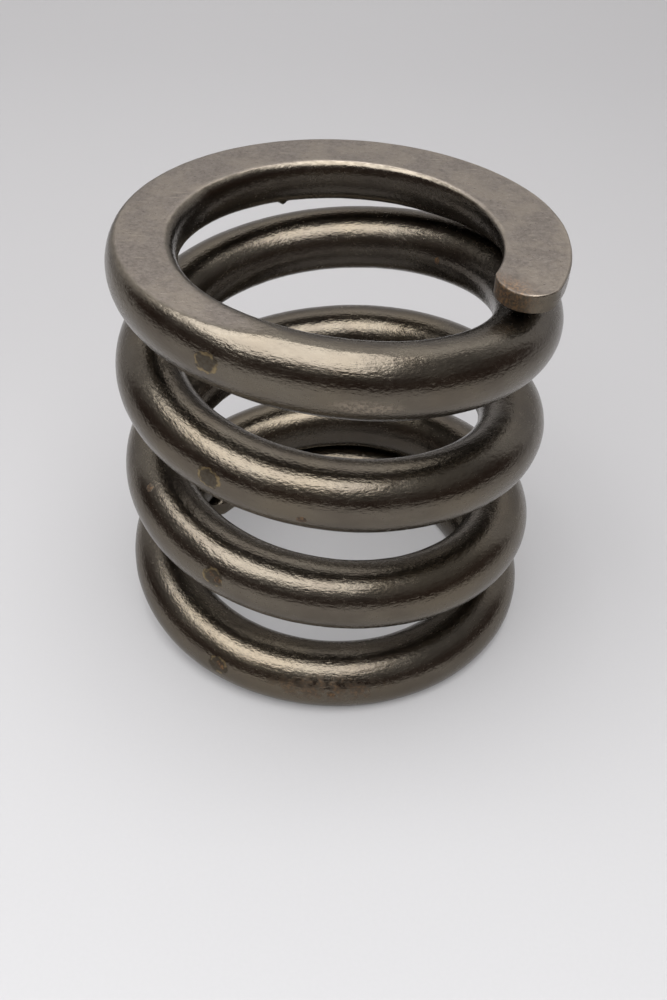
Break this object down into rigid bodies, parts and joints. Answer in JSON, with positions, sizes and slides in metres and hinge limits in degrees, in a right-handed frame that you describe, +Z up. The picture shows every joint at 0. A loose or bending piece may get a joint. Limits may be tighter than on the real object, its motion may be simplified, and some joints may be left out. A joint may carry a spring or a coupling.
{
  "type": "coil spring",
  "caption": "Heavy left-hand compression spring wound from one round steel bar, with closed ends ground flat to seat squarely.",
  "frame": {"origin": "centre of the lower ground face, on the coil's axis", "axes": "+Z up along the coil's axis, from the lower ground face to the upper one; +X to the right and +Y away, with the upper tip 30 degrees to the near side of +X"},
  "size_m": [0.1474, 0.1474, 0.146],
  "materials": {
    "spring_steel": "dark as-forged scale, shot-peened satin"
  },
  "bodies": {
    "lower_end_coil": {"lower_end_coil": "spring_steel"},
    "active_arc_01": {"active_arc_01": "spring_steel"},
    "active_arc_02": {"active_arc_02": "spring_steel"},
    "active_arc_03": {"active_arc_03": "spring_steel"},
    "active_arc_04": {"active_arc_04": "spring_steel"},
    "active_arc_05": {"active_arc_05": "spring_steel"},
    "active_arc_06": {"active_arc_06": "spring_steel"},
    "active_arc_07": {"active_arc_07": "spring_steel"},
    "active_arc_08": {"active_arc_08": "spring_steel"},
    "active_arc_09": {"active_arc_09": "spring_steel"},
    "active_arc_10": {"active_arc_10": "spring_steel"},
    "active_arc_11": {"active_arc_11": "spring_steel"},
    "active_arc_12": {"active_arc_12": "spring_steel"},
    "active_arc_13": {"active_arc_13": "spring_steel"},
    "active_arc_14": {"active_arc_14": "spring_steel"},
    "active_arc_15": {"active_arc_15": "spring_steel"},
    "active_arc_16": {"active_arc_16": "spring_steel"},
    "active_arc_17": {"active_arc_17": "spring_steel"},
    "active_arc_18": {"active_arc_18": "spring_steel"},
    "active_arc_19": {"active_arc_19": "spring_steel"},
    "active_arc_20": {"active_arc_20": "spring_steel"},
    "upper_end_coil": {"upper_end_coil": "spring_steel"}
  },
  "joints": [
    {"name": "compression", "type": "slide", "parent": "lower_end_coil", "child": "upper_end_coil", "axis": [0, 0, -1], "range_m": [0, 0.033], "stiffness_N_per_m": 670000},
    {"name": "arc_01_sink", "type": "slide", "parent": "lower_end_coil", "child": "active_arc_01", "axis": [0, 0, -1], "range_m": [0, 0.00084]},
    {"name": "arc_02_sink", "type": "slide", "parent": "lower_end_coil", "child": "active_arc_02", "axis": [0, 0, -1], "range_m": [0, 0.00249]},
    {"name": "arc_03_sink", "type": "slide", "parent": "lower_end_coil", "child": "active_arc_03", "axis": [0, 0, -1], "range_m": [0, 0.00413]},
    {"name": "arc_04_sink", "type": "slide", "parent": "lower_end_coil", "child": "active_arc_04", "axis": [0, 0, -1], "range_m": [0, 0.00578]},
    {"name": "arc_05_sink", "type": "slide", "parent": "lower_end_coil", "child": "active_arc_05", "axis": [0, 0, -1], "range_m": [0, 0.00743]},
    {"name": "arc_06_sink", "type": "slide", "parent": "lower_end_coil", "child": "active_arc_06", "axis": [0, 0, -1], "range_m": [0, 0.00909]},
    {"name": "arc_07_sink", "type": "slide", "parent": "lower_end_coil", "child": "active_arc_07", "axis": [0, 0, -1], "range_m": [0, 0.01073]},
    {"name": "arc_08_sink", "type": "slide", "parent": "lower_end_coil", "child": "active_arc_08", "axis": [0, 0, -1], "range_m": [0, 0.01238]},
    {"name": "arc_09_sink", "type": "slide", "parent": "lower_end_coil", "child": "active_arc_09", "axis": [0, 0, -1], "range_m": [0, 0.01403]},
    {"name": "arc_10_sink", "type": "slide", "parent": "lower_end_coil", "child": "active_arc_10", "axis": [0, 0, -1], "range_m": [0, 0.01569]},
    {"name": "arc_11_sink", "type": "slide", "parent": "lower_end_coil", "child": "active_arc_11", "axis": [0, 0, -1], "range_m": [0, 0.01733]},
    {"name": "arc_12_sink", "type": "slide", "parent": "lower_end_coil", "child": "active_arc_12", "axis": [0, 0, -1], "range_m": [0, 0.01898]},
    {"name": "arc_13_sink", "type": "slide", "parent": "lower_end_coil", "child": "active_arc_13", "axis": [0, 0, -1], "range_m": [0, 0.02063]},
    {"name": "arc_14_sink", "type": "slide", "parent": "lower_end_coil", "child": "active_arc_14", "axis": [0, 0, -1], "range_m": [0, 0.02229]},
    {"name": "arc_15_sink", "type": "slide", "parent": "lower_end_coil", "child": "active_arc_15", "axis": [0, 0, -1], "range_m": [0, 0.02393]},
    {"name": "arc_16_sink", "type": "slide", "parent": "lower_end_coil", "child": "active_arc_16", "axis": [0, 0, -1], "range_m": [0, 0.02558]},
    {"name": "arc_17_sink", "type": "slide", "parent": "lower_end_coil", "child": "active_arc_17", "axis": [0, 0, -1], "range_m": [0, 0.02723]},
    {"name": "arc_18_sink", "type": "slide", "parent": "lower_end_coil", "child": "active_arc_18", "axis": [0, 0, -1], "range_m": [0, 0.02888]},
    {"name": "arc_19_sink", "type": "slide", "parent": "lower_end_coil", "child": "active_arc_19", "axis": [0, 0, -1], "range_m": [0, 0.03054]},
    {"name": "arc_20_sink", "type": "slide", "parent": "lower_end_coil", "child": "active_arc_20", "axis": [0, 0, -1], "range_m": [0, 0.03218]}
  ],
  "couplings": [
    {"joint": "arc_01_sink", "follows": "compression", "ratio": 0.025},
    {"joint": "arc_02_sink", "follows": "compression", "ratio": 0.075},
    {"joint": "arc_03_sink", "follows": "compression", "ratio": 0.125},
    {"joint": "arc_04_sink", "follows": "compression", "ratio": 0.175},
    {"joint": "arc_05_sink", "follows": "compression", "ratio": 0.225},
    {"joint": "arc_06_sink", "follows": "compression", "ratio": 0.275},
    {"joint": "arc_07_sink", "follows": "compression", "ratio": 0.325},
    {"joint": "arc_08_sink", "follows": "compression", "ratio": 0.375},
    {"joint": "arc_09_sink", "follows": "compression", "ratio": 0.425},
    {"joint": "arc_10_sink", "follows": "compression", "ratio": 0.475},
    {"joint": "arc_11_sink", "follows": "compression", "ratio": 0.525},
    {"joint": "arc_12_sink", "follows": "compression", "ratio": 0.575},
    {"joint": "arc_13_sink", "follows": "compression", "ratio": 0.625},
    {"joint": "arc_14_sink", "follows": "compression", "ratio": 0.675},
    {"joint": "arc_15_sink", "follows": "compression", "ratio": 0.725},
    {"joint": "arc_16_sink", "follows": "compression", "ratio": 0.775},
    {"joint": "arc_17_sink", "follows": "compression", "ratio": 0.825},
    {"joint": "arc_18_sink", "follows": "compression", "ratio": 0.875},
    {"joint": "arc_19_sink", "follows": "compression", "ratio": 0.925},
    {"joint": "arc_20_sink", "follows": "compression", "ratio": 0.975}
  ]
}
